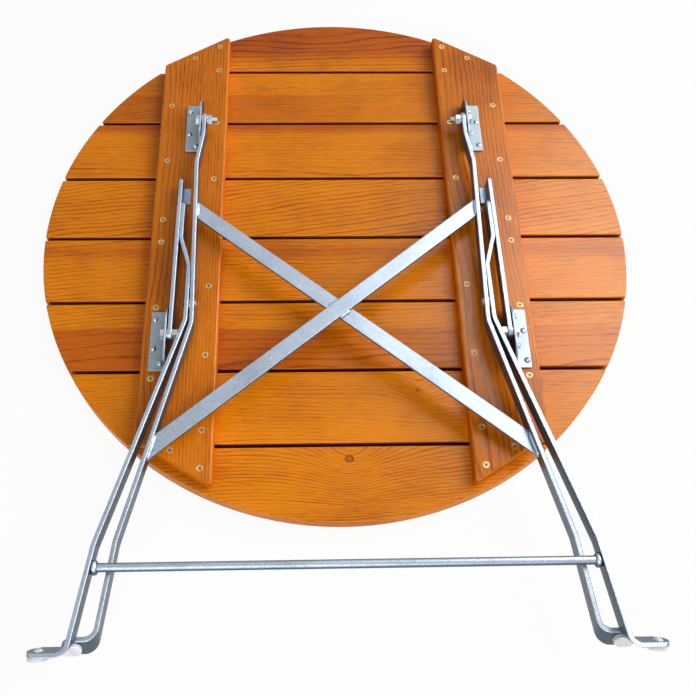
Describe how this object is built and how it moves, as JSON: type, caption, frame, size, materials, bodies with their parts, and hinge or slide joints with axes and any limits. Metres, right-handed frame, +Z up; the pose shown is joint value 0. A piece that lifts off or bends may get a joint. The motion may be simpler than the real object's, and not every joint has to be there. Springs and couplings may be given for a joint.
{
  "type": "folding garden table",
  "caption": "Round slatted wooden garden table on a crossed galvanised flat-bar frame that folds flat against the underside of the top; shown folded, face down.",
  "frame": {"origin": "Centre of the round top, on its top face, which faces down as the table lies folded.", "axes": "+X to the right seen from the feet, +Y away from the feet along the folded legs, +Z up from the top face to the folded frame."},
  "size_m": [0.8, 0.9599, 0.0943],
  "materials": {
    "board_wood": "oiled honey-brown softwood, satin",
    "batten_wood": "oiled red-brown softwood, satin",
    "galvanised_steel": "hot-dip galvanised, bluish grey with faint spangle",
    "bright_zinc": "bright zinc plated",
    "brass_screws": "yellow passivated, a little dull",
    "glide_plastic": "off-white moulded plastic"
  },
  "bodies": {
    "tabletop": {"slat_1": "board_wood", "slat_2": "board_wood", "slat_3": "board_wood", "slat_4": "board_wood", "slat_5": "board_wood", "slat_6": "board_wood", "slat_7": "board_wood", "slat_8": "board_wood", "batten_left": "batten_wood", "batten_right": "batten_wood", "bracket_upper_left": "galvanised_steel", "bracket_upper_right": "galvanised_steel", "bracket_lower_left": "galvanised_steel", "bracket_lower_right": "galvanised_steel", "batten_screws": "brass_screws", "bracket_screws": "bright_zinc", "upper_pivot_bolts": "bright_zinc", "lower_pivot_bolts": "bright_zinc", "upper_pivot_nuts": "bright_zinc", "lower_pivot_nuts": "bright_zinc", "upper_pivot_washers": "bright_zinc", "lower_pivot_washers": "bright_zinc"},
    "inner_frame": {"inner_leg_left": "galvanised_steel", "inner_leg_right": "galvanised_steel", "cross_brace_over": "galvanised_steel", "cross_brace_under": "galvanised_steel", "centre_rivets": "bright_zinc", "centre_washers": "bright_zinc", "inner_glide_left": "glide_plastic", "inner_glide_right": "glide_plastic"},
    "outer_frame": {"outer_leg_left": "galvanised_steel", "outer_leg_right": "galvanised_steel", "foot_rail": "galvanised_steel", "outer_rivets": "bright_zinc", "outer_glide_left": "glide_plastic", "outer_glide_right": "glide_plastic"},
    "left_link": {"link_left": "galvanised_steel", "stop_tab_left": "galvanised_steel", "link_rivet_left": "bright_zinc"},
    "right_link": {"link_right": "galvanised_steel", "stop_tab_right": "galvanised_steel", "link_rivet_right": "bright_zinc"}
  },
  "joints": [
    {"name": "leg_fold", "type": "hinge", "parent": "tabletop", "child": "inner_frame", "pos_m": [0, 0.1755, 0.06223], "axis": [-1, 0, 0], "range_deg": [0, 64.38]},
    {"name": "leg_cross", "type": "hinge", "parent": "inner_frame", "child": "outer_frame", "pos_m": [0, -0.1268, 0.06223], "axis": [-1, 0, 0], "range_deg": [0, 51.06]},
    {"name": "left_link_fold", "type": "hinge", "parent": "tabletop", "child": "left_link", "pos_m": [-0.2135, -0.1697, 0.06223], "axis": [1, 0, 0], "range_deg": [0, 46.44]},
    {"name": "right_link_fold", "type": "hinge", "parent": "tabletop", "child": "right_link", "pos_m": [0.2135, -0.1697, 0.06223], "axis": [1, 0, 0], "range_deg": [0, 46.44]}
  ],
  "couplings": [
    {"joint": "leg_cross", "follows": "leg_fold", "ratio": 0.79309},
    {"joint": "left_link_fold", "follows": "leg_fold", "ratio": 0.72123},
    {"joint": "right_link_fold", "follows": "leg_fold", "ratio": 0.72123}
  ]
}
